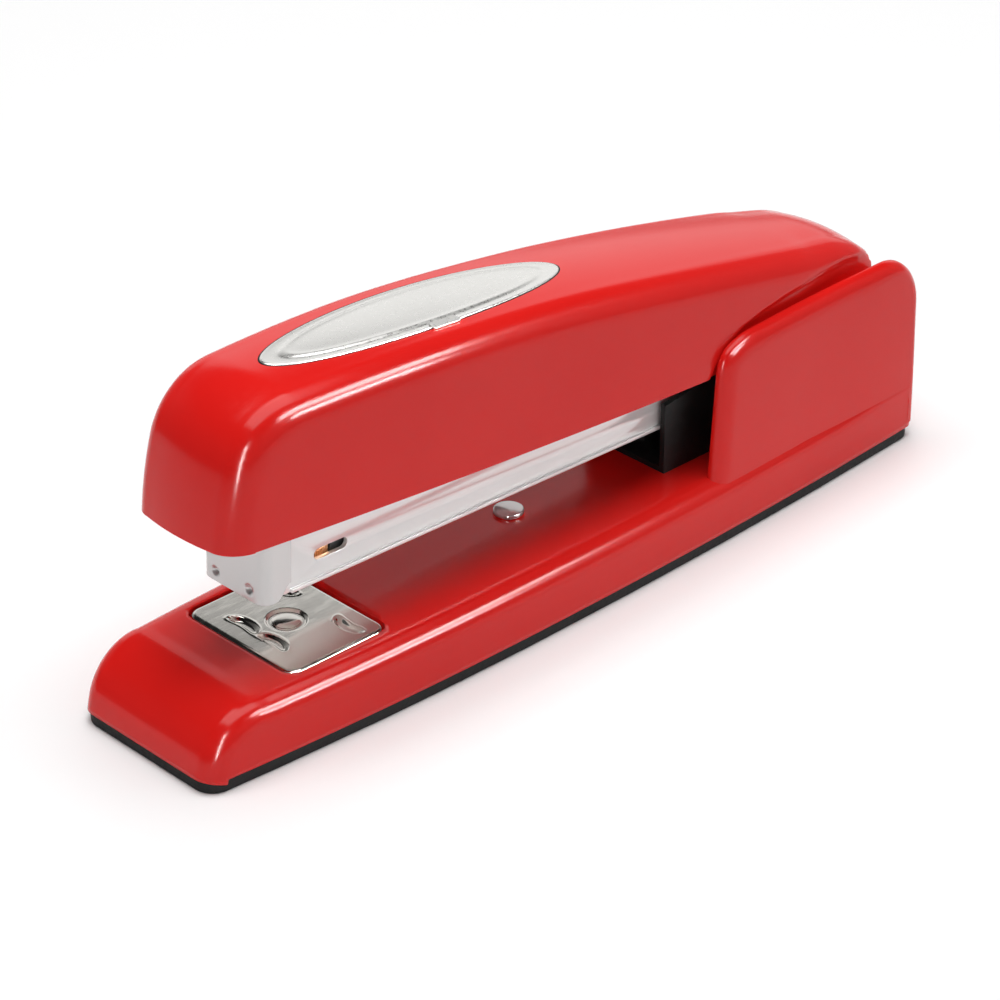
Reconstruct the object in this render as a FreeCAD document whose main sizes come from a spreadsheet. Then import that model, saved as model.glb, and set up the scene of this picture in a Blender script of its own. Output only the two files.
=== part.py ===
"""Desk stapler, in millimetres.

The nose points to -X, the hinge is at +X, +Z is up, and the origin is the middle of the underside.
The stapler has five moving groups: the anvil lifts, the magazine swings on the hinge pin, the
cover swings on the same pin, the pusher slides along its rod, and the inner rail slides a little.
The magazine's own pieces are drawn about the hinge pin and then tilted nose up together.
"""
import FreeCAD, Part
import math
import os
import types

import Sketcher

Vector = FreeCAD.Vector

DIMENSIONS = {
    # overall
    "half_len": 99.3,  # half the length of the base
    "reach": 260.0,  # cutting shapes run this far past the part
    # base casting and its rubber sole
    "sole_high": 2.8,
    "sole_inset": 0.5,
    "sole_hole_rad": 11.0,
    "deck_top": 15.0,
    "deck_thick": 2.4,
    "base_half_wide": 22.15,
    "base_belly_x": -22.0,
    "base_front_arc": 920.0,
    "base_rear_arc": 1517.0,
    "base_wall": 2.4,
    "base_cavity_front": -89.0,
    "base_front_lean_x": -98.68,
    "base_front_lean_z": 5.2,
    "base_brow_rad": 13.0,
    "base_brow_x": -86.1,
    "base_tail_rad": 4.0,
    "base_shoulder_rad": 4.4,
    # ears either side of the hinge
    "ear_inset": 0.8,
    "ear_thick": 2.7,
    "ear_foot_x": 33.4,
    "ear_front_x": 35.4,
    "ear_front_z": 38.2,
    "ear_brow_rad": 6.4,
    "ear_brow_x": 41.4,
    "ear_top": 44.2,
    "ear_nape_x": 86.5,
    "ear_tail_rad": 12.1,
    "ear_rim_rad": 1.2,
    # anvil
    "anvil_x": -63.65,
    "anvil_long": 24.4,
    "anvil_wide": 30.3,
    "anvil_thick": 1.2,
    "anvil_corner_rad": 2.8,
    "anvil_gap": 0.4,
    "post_rad": 2.2,
    "post_fit": 0.15,
    "post_head_rad": 3.5,
    "post_head_high": 0.25,
    "post_collar_rad": 4.6,
    "post_collar_z": 7.6,
    "post_collar_high": 0.9,
    "button_rad": 7.5,
    "button_z": 4.3,
    "groove_half_span": 7.6,
    "groove_depth": 0.45,
    "clinch_front": 7.3,
    "clinch_rear": 7.6,
    # rivet that holds the anvil's leaf spring
    "stud_x": -5.35,
    "stud_rad": 3.1,
    "stud_high": 1.0,
    "rivet_shank_rad": 1.5,
    "leaf_thick": 0.5,
    "leaf_wide": 9.0,
    # hinge
    "hinge_x": 84.0,
    "hinge_z": 33.0,
    "pin_rad": 2.4,
    "pin_fit": 0.06,
    "pin_half_len": 13.5,
    "pin_head_rad": 3.2,
    "clip_y": 12.1,
    "clip_thick": 0.4,
    # black steel bracket riveted to the base
    "bracket_plate": 1.2,
    "bracket_inner": 9.2,
    "bracket_outer": 10.5,
    "bracket_front_x": 28.0,
    "bracket_rear_x": 90.5,
    "bracket_front_z": 30.5,
    "bracket_rivet_x": 38.0,
    "bracket_rivet_step": 34.0,
    "bracket_rivet_y": 5.6,
    "lift_tip_rise": 1.35,
    # magazine, measured from the hinge pin before the tilt
    "magazine_tilt": 1.55,
    "channel_half_wide": 8.3,
    "channel_wall": 1.0,
    "channel_low": -9.9,
    "channel_top": 2.6,
    "channel_front": -157.8,
    "channel_rear": 8.0,
    "channel_lip": 0.6,
    "channel_lip_high": 0.7,
    "channel_eye_rad": 5.6,
    "channel_end_rad": 10.6,
    "window_x": -143.4,
    "window_z": -4.4,
    "window_long": 8.3,
    "window_high": 2.3,
    # nose of the magazine
    "nose_front": -160.3,
    "nose_half_wide": 8.9,
    "nose_plate": 0.6,
    "nose_rear": -153.6,
    "nose_low": -10.5,
    "nose_heel_z": -7.4,
    "nose_heel_x": -156.6,
    "nose_top": 3.2,
    "nose_corner_rad": 2.4,
    # staples
    "staple_front": -158.7,
    "staple_rear": -142.3,
    "staple_half_wide": 6.45,
    "staple_wire": 0.5,
    "staple_leg": 6.35,
    "staple_top": -2.4,
    # inner rail
    "rail_half_wide": 5.75,
    "rail_sheet": 0.8,
    "rail_front": -157.6,
    "rail_rear": -12.5,
    "rail_top": -2.95,
    "rail_low": -7.6,
    "rail_foot_low": -8.8,
    "rail_foot_long": 10.0,
    # pusher, its rod and spring
    "pusher_front": -142.2,
    "pusher_long": 9.0,
    "pusher_half_wide": 6.7,
    "pusher_top": -2.2,
    "pusher_low": -8.7,
    "pusher_fit": 0.15,
    "rod_rad": 0.95,
    "rod_z": -5.7,
    "rod_front": -150.0,
    "spring_rad": 1.9,
    "spring_bore": 1.15,
    "block_front": -22.0,
    "block_long": 7.0,
    "end_block_front": -6.4,
    "end_block_long": 2.6,
    "end_spring_rad": 2.3,
    # cover
    "cover_half_wide": 17.1,
    "cover_front_arc": 1645.0,
    "cover_rear_arc": 1000.0,
    "cover_sheet": 1.3,
    "cover_side": 2.0,
    "cover_shoulder_rad": 5.0,
    "cover_cavity_rad": 3.6,
    "cover_front_x": -89.4,
    "cover_front_z": 43.9,
    "cover_skirt_x": 60.0,
    "cover_skirt_z": 35.35,
    "cover_tail_z": 26.0,
    "cover_front_heading": 85.6,
    "cover_face_rad": 72.0,
    "cover_face_turn": 12.2,
    "cover_brow_rad": 16.8,
    "cover_brow_turn": 73.1,
    "cover_back_rad": 500.0,
    "cover_back_turn": 9.7,
    "cover_waist_rad": 1117.0,
    "cover_waist_turn": 3.2,
    "cover_nape_rad": 31.2,
    "cover_nape_turn": 36.4,
    "cover_heel_rad": 20.0,
    "cover_heel_turn": 41.0,
    "cover_step": 0.8,
    "cover_step_gap": 1.9,
    "cover_swing_rad": 17.5,  # this far round the pin the cover must pass between the ears
    "cover_swing_step": 1.45,
    "cover_door_half": 11.0,  # the rear wall is open here, to clear the bracket and the channel
    "cover_door_top": 44.5,
    # oval plate on the cover
    "oval_x": -30.4,
    "oval_half_long": 37.3,
    "oval_half_wide": 8.7,
    "oval_sink": 0.7,
    "oval_thick": 0.9,
    "oval_gap": 0.25,
    # black arm inside the cover
    "arm_inner": 10.7,
    "arm_plate": 1.1,
    "arm_front_x": -73.6,
    "arm_front_z": 58.5,
    "arm_flange": 9.0,
    "arm_rear_z": 46.0,
    "arm_knee_x": 62.0,
    "arm_eye_rad": 5.0,
    "arm_leaf_x": 14.0,
    "leaf_tip_x": -22.0,
    "cover_post_rad": 2.5,
    "post_spread": 21.0,
    # driver blade
    "blade_x": -159.5,
    "blade_thick": 0.45,
    "blade_wide": 12.4,
    "blade_tip_z": -2.1,
    "blade_lean": 1.7,
    "blade_high": 24.0,
    "blade_rivet_rad": 1.1,
    "blade_rivet_y": 3.6,
    "blade_rivet_z": 54.0,
    "slope_clear": 0.26,  # a flat rivet head needs this to clear the sloping arm
}


class Quantity:
    """A number together with the spreadsheet expression that gives it."""

    def __init__(self, value, text):
        self.value = float(value)
        self.text = text

    def _join(self, sign, value, other):
        return Quantity(value, "(" + self.text + sign + other.text + ")")

    def __add__(self, other):
        other = quantity(other)
        return self._join(" + ", self.value + other.value, other)

    def __sub__(self, other):
        other = quantity(other)
        return self._join(" - ", self.value - other.value, other)

    def __mul__(self, other):
        other = quantity(other)
        return self._join(" * ", self.value * other.value, other)

    def __truediv__(self, other):
        other = quantity(other)
        return self._join(" / ", self.value / other.value, other)

    def __neg__(self):
        return Quantity(-self.value, "(0 - " + self.text + ")")

    __radd__ = __add__
    __rmul__ = __mul__

    def __rsub__(self, other):
        return quantity(other) - self


def quantity(number):
    """Turn a plain number into a Quantity; leave a Quantity as it is."""
    if isinstance(number, Quantity):
        return number
    return Quantity(number, repr(round(float(number), 6)))


def sine(angle):
    """The sine of a quantity in degrees."""
    return Quantity(math.sin(math.radians(angle.value)), "sin(" + angle.text + " * 1 deg)")


def cosine(angle):
    """The cosine of a quantity in degrees."""
    return Quantity(math.cos(math.radians(angle.value)), "cos(" + angle.text + " * 1 deg)")


def make_sheet(document):
    """Write the driving dimensions into the spreadsheet and return them by name."""
    sheet = document.addObject("Spreadsheet::Sheet", "Dims")
    known = {}
    for row, (name, value) in enumerate(DIMENSIONS.items(), start=1):
        sheet.set("A%d" % row, name)
        sheet.set("B%d" % row, repr(value))
        sheet.setAlias("B%d" % row, name)
        known[name] = Quantity(value, "Dims." + name)
    document.recompute()
    return types.SimpleNamespace(**known)


doc = FreeCAD.newDocument("desk_stapler")
D = make_sheet(doc)
NODES = []


def bind(thing, path, amount):
    """Tie one property of an object to the spreadsheet."""
    thing.setExpression(path, quantity(amount).text)


def node(thing, label):
    """Name a finished sub-part and remember it."""
    thing.Label = label
    NODES.append(thing)
    return thing


# ---------------------------------------------------------------- sketches and PartDesign features


def origin_plane(body, role):
    """Return one of the body's own origin planes."""
    for feature in body.Origin.OriginFeatures:
        if feature.Role == role:
            return feature
    raise ValueError(role)


def arc_between(start, end, radius):
    """Return the arc from start to end; a positive radius has its centre to the left."""
    chord = end - start
    middle = (start + end) * 0.5
    left = Vector(-chord.y, chord.x, 0).normalize()
    side = math.copysign(1.0, radius)
    rise = math.sqrt(max(radius * radius - chord.Length ** 2 / 4, 0.0))
    centre = middle + left * (side * rise)
    first, last = (start, end) if radius > 0 else (end, start)
    angles = [math.atan2(p.y - centre.y, p.x - centre.x) for p in (first, last)]
    circle = Part.Circle(centre, Vector(0, 0, 1), abs(radius))
    return Part.ArcOfCircle(circle, angles[0], angles[1])


def fix_point(sketch, geometry, end, spot):
    """Hold one end of a sketch line at a place given by two quantities."""
    axes = (("DistanceX", spot[0], -2), ("DistanceY", spot[1], -1))
    for kind, amount, axis in axes:
        amount = quantity(amount)
        if amount.value == 0:
            sketch.addConstraint(Sketcher.Constraint("PointOnObject", geometry, end, axis))
            continue
        rule = Sketcher.Constraint(kind, -1, 1, geometry, end, amount.value)
        index = sketch.addConstraint(rule)
        bind(sketch, "Constraints[%d]" % index, amount)


def new_sketch(body, role, name, lift=0):
    """Add a sketch on an origin plane of the body, lifted off it by a quantity."""
    sketch = body.newObject("Sketcher::SketchObject", name)
    sketch.AttachmentSupport = [(origin_plane(body, role), "")]
    sketch.MapMode = "FlatFace"
    bind(sketch, "AttachmentOffset.Base.z", lift)
    return sketch


def draw_loop(sketch, outline):
    """Draw one closed outline of (x, y) or (x, y, radius of the arc that leaves the point)."""
    spots = [Vector(quantity(p[0]).value, quantity(p[1]).value, 0) for p in outline]
    ends = []
    for index, point in enumerate(outline):
        start, end = spots[index], spots[(index + 1) % len(spots)]
        if len(point) == 2:
            geometry = sketch.addGeometry(Part.LineSegment(start, end))
            ends.append((geometry, 1, 2))
            continue
        radius = quantity(point[2])
        geometry = sketch.addGeometry(arc_between(start, end, radius.value))
        rule = Sketcher.Constraint("Radius", geometry, abs(radius.value))
        number = sketch.addConstraint(rule)
        bind(sketch, "Constraints[%d]" % number, radius if radius.value > 0 else -radius)
        ends.append((geometry, 1, 2) if radius.value > 0 else (geometry, 2, 1))
    for index, (geometry, start, end) in enumerate(ends):
        following, following_start, _ = ends[(index + 1) % len(ends)]
        sketch.addConstraint(
            Sketcher.Constraint("Coincident", geometry, end, following, following_start))
        fix_point(sketch, geometry, start, outline[index])


def new_body(name):
    """Start a PartDesign body."""
    return doc.addObject("PartDesign::Body", name)


def pad(body, sketch, length, both_ways=False):
    """Grow a sketch into material."""
    feature = body.newObject("PartDesign::Pad", sketch.Name + "_pad")
    feature.Profile = sketch
    feature.Midplane = both_ways
    bind(feature, "Length", length)
    doc.recompute()
    return feature


def pocket(body, sketch, length, both_ways=True, upward=False):
    """Cut a sketch out of the body, and check that it cut something."""
    before = body.Shape.Volume
    feature = body.newObject("PartDesign::Pocket", sketch.Name + "_pocket")
    feature.Profile = sketch
    feature.Midplane = both_ways
    feature.Reversed = upward
    bind(feature, "Length", length)
    doc.recompute()
    if body.Shape.Volume > before - 1e-6:
        raise RuntimeError(sketch.Name + " cut nothing")
    return feature


def fillet(body, radius, wanted, name):
    """Round the edges of the body whose ends and middle pass a test."""
    base = body.Tip
    names = []
    for index, edge in enumerate(base.Shape.Edges, start=1):
        middle = edge.valueAt((edge.FirstParameter + edge.LastParameter) / 2)
        ends = [vertex.Point for vertex in edge.Vertexes]
        if wanted(ends, middle):
            names.append("Edge%d" % index)
    feature = body.newObject("PartDesign::Fillet", name)
    feature.Base = (base, names)
    bind(feature, "Radius", radius)
    doc.recompute()
    return feature


def loop_prism(name, role, outline, length, both_ways=True, lift=0):
    """A body made of one padded outline."""
    body = new_body(name)
    sketch = new_sketch(body, role, name + "_outline", lift)
    draw_loop(sketch, outline)
    pad(body, sketch, length, both_ways)
    return body


# ---------------------------------------------------------------- primitives and booleans


def box(name, x, y, z):
    """A block given by its (low, high) in each direction."""
    block = doc.addObject("Part::Box", name)
    for side, place, (low, high) in (("Length", "x", x), ("Width", "y", y), ("Height", "z", z)):
        bind(block, side, quantity(high) - low)
        bind(block, "Placement.Base." + place, low)
    return block


def rod(name, radius, start, end, across=(0, 0), axis="z"):
    """A round bar along one axis; across is its place on the other two axes, in XYZ order."""
    bar = doc.addObject("Part::Cylinder", name)
    turns = {"x": (Vector(0, 1, 0), 90), "y": (Vector(1, 0, 0), -90), "z": (Vector(0, 0, 1), 0)}
    bar.Placement = FreeCAD.Placement(Vector(), FreeCAD.Rotation(*turns[axis]))
    bind(bar, "Radius", radius)
    bind(bar, "Height", quantity(end) - start)
    others = [letter for letter in "xyz" if letter != axis]
    bind(bar, "Placement.Base." + axis, start)
    bind(bar, "Placement.Base." + others[0], across[0])
    bind(bar, "Placement.Base." + others[1], across[1])
    return bar


def fuse(name, pieces):
    """Join several shapes into one."""
    joined = doc.addObject("Part::MultiFuse", name)
    joined.Shapes = pieces
    joined.Refine = True
    return joined


def group(name, pieces):
    """Keep several separate solids together in one node."""
    together = doc.addObject("Part::Compound", name)
    together.Links = pieces
    return together


def cut(name, base, tools):
    """Take one or more shapes away from another."""
    tool = tools[0] if len(tools) == 1 else fuse(name + "_tools", tools)
    result = doc.addObject("Part::Cut", name)
    result.Base = base
    result.Tool = tool
    return result


def on_hinge(thing):
    """Carry a magazine piece from the hinge pin's own axes to its place, nose up."""
    carrier = group(thing.Name + "_in_place", [thing])
    carrier.Placement = FreeCAD.Placement(Vector(), FreeCAD.Rotation(Vector(0, 1, 0), 1))
    bind(carrier, "Placement.Base.x", D.hinge_x)
    bind(carrier, "Placement.Base.z", D.hinge_z)
    bind(carrier, "Placement.Rotation.Angle", D.magazine_tilt)
    return carrier


# ---------------------------------------------------------------- outlines


def arc_drop(run, radius):
    """How far a large arc has fallen away after a run from its crown."""
    return run * run / (radius * 2)


def boat_outline(front, rear, belly, half_wide, front_arc, rear_arc, inset):
    """A long plan whose two sides are bowed, widest at the belly."""
    widest = half_wide - inset
    front_half = widest - arc_drop(belly - front, front_arc)
    rear_half = widest - arc_drop(rear - belly, rear_arc)
    return [
        (front, -front_half, front_arc), (belly, -widest, rear_arc), (rear, -rear_half),
        (rear, rear_half, rear_arc), (belly, widest, front_arc), (front, front_half)]


def base_plan(front, rear, inset):
    """The base's plan, with its sides moved in by inset."""
    return boat_outline(front, rear, D.base_belly_x, D.base_half_wide, D.base_front_arc,
                        D.base_rear_arc, inset)


def cover_arcs():
    """The cover's side view from its front lower edge over the top to the tail.

    Each entry is the x, z and heading where an arc starts, and its radius; the last has no arc.
    """
    spots = []
    x, z, heading = D.cover_front_x, D.cover_front_z, D.cover_front_heading
    for part in ("face", "brow", "back", "waist", "nape", "heel"):
        radius = getattr(D, "cover_" + part + "_rad")
        following = heading - getattr(D, "cover_" + part + "_turn")
        spots.append((x, z, heading, radius))
        x = x + radius * (sine(heading) - sine(following))
        z = z - radius * (cosine(heading) - cosine(following))
        heading = following
    spots.append((x, z, heading, None))
    return spots


COVER_ARCS = cover_arcs()
WAIST_X = COVER_ARCS[3][0]


def cover_plan(front, rear, inset):
    """The cover's plan, with its sides moved in by inset."""
    return boat_outline(front, rear, WAIST_X, D.cover_half_wide, D.cover_front_arc,
                        D.cover_rear_arc, inset)


def cover_profile(inset):
    """The cover's side view from the tail to the front, moved in by inset."""
    outline = []
    for index in range(len(COVER_ARCS) - 1, -1, -1):
        x, z, heading, _ = COVER_ARCS[index]
        spot = (x + inset * sine(heading), z - inset * cosine(heading))
        if index:
            spot += (COVER_ARCS[index - 1][3] - inset,)
        outline.append(spot)
    return outline


def ear_profile(grow):
    """Side view of an ear, grown outward, closed below the deck."""
    rear = D.half_len + grow
    top = D.ear_top + grow
    return [
        (D.ear_foot_x - grow, D.sole_high + 3), (rear, D.sole_high + 3),
        (rear, D.ear_top - D.ear_tail_rad, D.ear_tail_rad + grow), (D.ear_nape_x, top),
        (D.ear_brow_x, top, D.ear_brow_rad + grow), (D.ear_front_x - grow, D.ear_front_z)]


# ---------------------------------------------------------------- base


def rounded_plate(name, centre_x, long, wide, low, thick, corner):
    """A flat rounded rectangle."""
    half_long = long / 2
    half_wide = wide / 2
    plate = loop_prism(name, "XY_Plane", [
        (centre_x - half_long, -half_wide), (centre_x + half_long, -half_wide),
        (centre_x + half_long, half_wide), (centre_x - half_long, half_wide)],
        thick, both_ways=False, lift=low)
    fillet(plate, corner, lambda ends, mid: abs(ends[0].z - ends[-1].z) > 0.1, name + "_corners")
    return plate


def bracket_rivet_places():
    """Where the hinge bracket is riveted to the deck."""
    for step in (0, 1):
        for side in (-1, 1):
            yield D.bracket_rivet_x + D.bracket_rivet_step * step, D.bracket_rivet_y * side


def make_base_form():
    """The solid, rounded block of the base, without its ears."""
    body = loop_prism("base_block", "XY_Plane",
                      base_plan(-D.half_len - 1, D.half_len, 0),
                      D.deck_top - D.sole_high, both_ways=False, lift=D.sole_high)
    profile = new_sketch(body, "XZ_Plane", "base_brow")
    draw_loop(profile, [
        (-D.half_len, D.sole_high), (D.base_front_lean_x, D.base_front_lean_z, -D.base_brow_rad),
        (D.base_brow_x, D.deck_top), (D.base_brow_x, D.deck_top + 5),
        (-D.half_len - 5, D.deck_top + 5), (-D.half_len - 5, D.sole_high)])
    pocket(body, profile, D.reach)
    tail = new_sketch(body, "XZ_Plane", "base_tail")
    draw_loop(tail, [
        (D.half_len - D.base_tail_rad, D.deck_top, -D.base_tail_rad),
        (D.half_len, D.deck_top - D.base_tail_rad), (D.half_len + 5, D.deck_top - D.base_tail_rad),
        (D.half_len + 5, D.deck_top + 5), (D.half_len - D.base_tail_rad, D.deck_top + 5)])
    pocket(body, tail, D.reach)
    low = DIMENSIONS["sole_high"] + 0.01
    fillet(body, D.base_shoulder_rad,
           lambda ends, mid: mid.z > low and abs(mid.y) > 5, "base_shoulder")
    return body


def make_ears():
    """Two tall walls, one each side of the hinge, with rounded rims."""
    body = new_body("ear_walls")
    sketch = new_sketch(body, "XY_Plane", "ear_plan", D.sole_high + 3)
    outer = D.base_half_wide - D.ear_inset
    inner = outer - D.ear_thick
    front_fall = arc_drop(D.ear_foot_x - D.base_belly_x, D.base_rear_arc)
    rear_fall = arc_drop(D.half_len - D.base_belly_x, D.base_rear_arc)
    front = D.ear_foot_x
    rear = D.half_len
    arc = D.base_rear_arc
    draw_loop(sketch, [
        (front, front_fall - outer, arc), (rear, rear_fall - outer),
        (rear, rear_fall - inner, -arc), (front, front_fall - inner)])
    draw_loop(sketch, [
        (front, inner - front_fall, -arc), (rear, inner - rear_fall),
        (rear, outer - rear_fall, arc), (front, outer - front_fall)])
    pad(body, sketch, D.ear_top)
    outside = new_sketch(body, "XZ_Plane", "ear_outside")
    draw_loop(outside, ear_profile(0))
    draw_loop(outside, [(0, 0), (120, 0), (120, 80), (0, 80)])
    pocket(body, outside, D.reach)
    deck = DIMENSIONS["deck_top"]
    foot = DIMENSIONS["ear_foot_x"]
    fillet(body, D.ear_rim_rad,
           lambda ends, mid: mid.z > deck and abs(ends[0].y - ends[-1].y) < 2.2, "ear_rim")
    return body


def make_base():
    """The painted casting: deck, side walls, ears and the openings in the deck."""
    cavity = loop_prism("base_cavity", "XY_Plane",
                        base_plan(D.base_cavity_front, D.half_len - D.base_wall, D.base_wall),
                        D.deck_top - D.deck_thick, both_ways=False)
    recess = rounded_plate("anvil_recess", D.anvil_x, D.anvil_long + D.anvil_gap * 2,
                           D.anvil_wide + D.anvil_gap * 2, D.deck_top - D.anvil_thick,
                           D.anvil_thick * 3, D.anvil_corner_rad + D.anvil_gap)
    post_hole = rod("post_hole", D.post_rad + D.post_fit, 0, D.deck_top, (D.anvil_x, 0))
    stud_hole = rod("stud_hole", D.rivet_shank_rad, 0, D.deck_top + 1, (D.stud_x, 0))
    holes = [cavity, recess, post_hole, stud_hole]
    for index, (x, y) in enumerate(bracket_rivet_places()):
        holes.append(rod("deck_hole_%d" % index, D.rivet_shank_rad, 0, D.deck_top + 1, (x, y)))
    solid = fuse("base_solid", [make_base_form(), make_ears()])
    node(cut("base", solid, holes), "base_casting")


def make_sole():
    """The rubber sole, with a finger hole under the anvil's button."""
    inset = D.sole_inset
    sole = loop_prism("sole_block", "XY_Plane",
                      base_plan(inset - D.half_len, D.half_len - inset, inset),
                      D.sole_high, both_ways=False)
    fillet(sole, D.base_shoulder_rad, lambda ends, mid: abs(ends[0].z - ends[-1].z) > 1,
           "sole_corners")
    hole = rod("sole_hole", D.sole_hole_rad, -1, D.sole_high + 1, (D.anvil_x, 0))
    node(cut("sole", sole, [hole]), "base_pad")


def headed_rivet(name, x, y, head_low, head_high, head_rad, tail_low):
    """A rivet with a flat head above and a clenched tail below."""
    head = rod(name + "_head", head_rad, head_low, head_high, (x, y))
    shank = rod(name + "_shank", D.rivet_shank_rad, tail_low, head_low + 0.1, (x, y))
    tail = rod(name + "_tail", D.rivet_shank_rad * 1.6, tail_low - 0.7, tail_low, (x, y))
    return fuse(name, [head, shank, tail])


def make_anvil_spring():
    """A leaf under the deck, held by the stud, whose forked end holds the post down."""
    under = D.deck_top - D.deck_thick
    tip = D.post_collar_z + D.post_collar_high + D.leaf_thick
    knee = D.stud_x - 6
    leaf = loop_prism("leaf_block", "XZ_Plane", [
        (D.stud_x + 5, under - D.leaf_thick), (D.stud_x + 5, under), (knee, under),
        (D.anvil_x + 6, tip), (D.anvil_x - 5, tip), (D.anvil_x - 5, tip - D.leaf_thick),
        (D.anvil_x + 6, tip - D.leaf_thick), (knee, under - D.leaf_thick)], D.leaf_wide)
    stud_bore = rod("leaf_stud_bore", D.rivet_shank_rad, 0, D.deck_top, (D.stud_x, 0))
    slack = D.post_rad + 0.3
    fork = box("leaf_fork", (D.anvil_x - 9, D.anvil_x + slack), (-slack, slack), (0, D.deck_top))
    node(cut("anvil_leaf", leaf, [stud_bore, fork]), "anvil_leaf_spring")
    stud = headed_rivet("stud", D.stud_x, 0, D.deck_top, D.deck_top + D.stud_high, D.stud_rad,
                        under - D.leaf_thick)
    node(stud, "anvil_spring_rivet")


def make_bracket():
    """A U-shaped black steel bracket that carries the hinge pin."""
    floor_top = D.deck_top + D.bracket_plate
    side = [
        (D.bracket_front_x, D.deck_top), (D.bracket_rear_x, D.deck_top),
        (D.bracket_rear_x, D.hinge_z, D.bracket_rear_x - D.hinge_x),
        (D.hinge_x, D.hinge_z + D.bracket_rear_x - D.hinge_x),
        (D.bracket_front_x + 12, D.bracket_front_z + 1.5), (D.bracket_front_x, D.bracket_front_z)]
    block = loop_prism("bracket_block", "XZ_Plane", side, D.bracket_outer * 2)
    inside = box("bracket_inside", (D.bracket_front_x - 5, D.bracket_rear_x + 5),
                 (-D.bracket_inner, D.bracket_inner), (floor_top, D.ear_top + 9))
    pin_hole = rod("bracket_pin_hole", D.pin_rad, -20, 20, (D.hinge_x, D.hinge_z), "y")
    tools = [inside, pin_hole]
    rivets = []
    for index, (x, y) in enumerate(bracket_rivet_places()):
        tools.append(rod("bracket_hole_%d" % index, D.rivet_shank_rad, 0, floor_top + 1, (x, y)))
        rivets.append(headed_rivet("bracket_rivet_%d" % index, x, y, floor_top, floor_top + 0.7,
                                   D.rivet_shank_rad * 1.7, D.deck_top - D.deck_thick))
    node(cut("bracket", block, tools), "hinge_bracket")
    node(group("bracket_rivet_set", rivets), "bracket_rivets")


def make_hinge_pin():
    """The hinge pin and the clip on each end."""
    place = (D.hinge_x, D.hinge_z)
    node(rod("pin", D.pin_rad, -D.pin_half_len, D.pin_half_len, place, "y"), "hinge_pin")
    rings = []
    for side in (-1, 1):
        middle = D.clip_y * side
        half = D.clip_thick / 2
        ring = rod("ring_%d" % side, D.pin_head_rad, middle - half, middle + half, place, "y")
        bore = rod("ring_bore_%d" % side, D.pin_rad, middle - 1, middle + 1, place, "y")
        rings.append(cut("clip_%d" % side, ring, [bore]))
    node(group("clip_set", rings), "pin_clips")


def make_lift_spring():
    """A bent leaf on the bracket's floor that holds the magazine up off the base."""
    floor_top = D.deck_top + D.bracket_plate
    foot = D.bracket_rivet_x + D.bracket_rivet_step / 2
    tip_x = D.bracket_front_x + 2
    tip_z = D.hinge_z + D.channel_low + D.lift_tip_rise
    leaf = loop_prism("lift_leaf", "XZ_Plane", [
        (foot - 5, floor_top), (foot + 6, floor_top), (foot + 6, floor_top + D.leaf_thick),
        (foot - 5, floor_top + D.leaf_thick), (tip_x, tip_z), (tip_x, tip_z - D.leaf_thick)],
        D.leaf_wide)
    bore = rod("lift_bore", D.rivet_shank_rad, 0, D.hinge_z, (foot, 0))
    node(cut("lift_spring", leaf, [bore]), "magazine_lift_spring")
    rivet = rod("lift_rivet_head", D.rivet_shank_rad * 1.7, floor_top + D.leaf_thick,
                floor_top + D.leaf_thick + 0.6, (foot, 0))
    shank = rod("lift_rivet_shank", D.rivet_shank_rad, floor_top, floor_top + D.leaf_thick + 0.1,
                (foot, 0))
    node(fuse("lift_rivet", [rivet, shank]), "lift_spring_rivet")


# ---------------------------------------------------------------- anvil


def make_anvil():
    """The plate that bends the staples, its post, and the button under the base."""
    low = D.deck_top - D.anvil_thick
    plate = rounded_plate("anvil_block", D.anvil_x, D.anvil_long, D.anvil_wide, low,
                          D.anvil_thick, D.anvil_corner_rad)
    tools = [rod("anvil_post_hole", D.post_rad, 0, D.deck_top + 1, (D.anvil_x, 0))]
    for index, (offset, half_gap) in enumerate(((-D.clinch_front, 0.25), (D.clinch_rear, 5.6))):
        for side in (-1, 1):
            centre = D.groove_half_span / 2 + half_gap
            tools.append(rod("groove_%d_%d" % (index, side), 2.6, centre * side - 3.2,
                             centre * side + 3.2,
                             (D.anvil_x + offset, D.deck_top + 2.6 - D.groove_depth), "y"))
    node(cut("anvil_cut", plate, tools), "anvil_plate")
    head = rod("post_head", D.post_head_rad, D.deck_top, D.deck_top + D.post_head_high,
               (D.anvil_x, 0))
    stem = rod("post_stem", D.post_rad, D.post_collar_z - 1.4, D.deck_top + 0.1, (D.anvil_x, 0))
    collar = rod("post_collar", D.post_collar_rad, D.post_collar_z,
                 D.post_collar_z + D.post_collar_high, (D.anvil_x, 0))
    node(fuse("post", [head, stem, collar]), "anvil_post")
    knob = rod("button_disc", D.button_rad, D.button_z, D.post_collar_z, (D.anvil_x, 0))
    socket = rod("button_socket", D.post_rad, D.post_collar_z - 1.4, D.post_collar_z + 1,
                 (D.anvil_x, 0))
    node(cut("button", knob, [socket]), "anvil_button")


# ---------------------------------------------------------------- magazine, about the hinge pin


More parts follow.
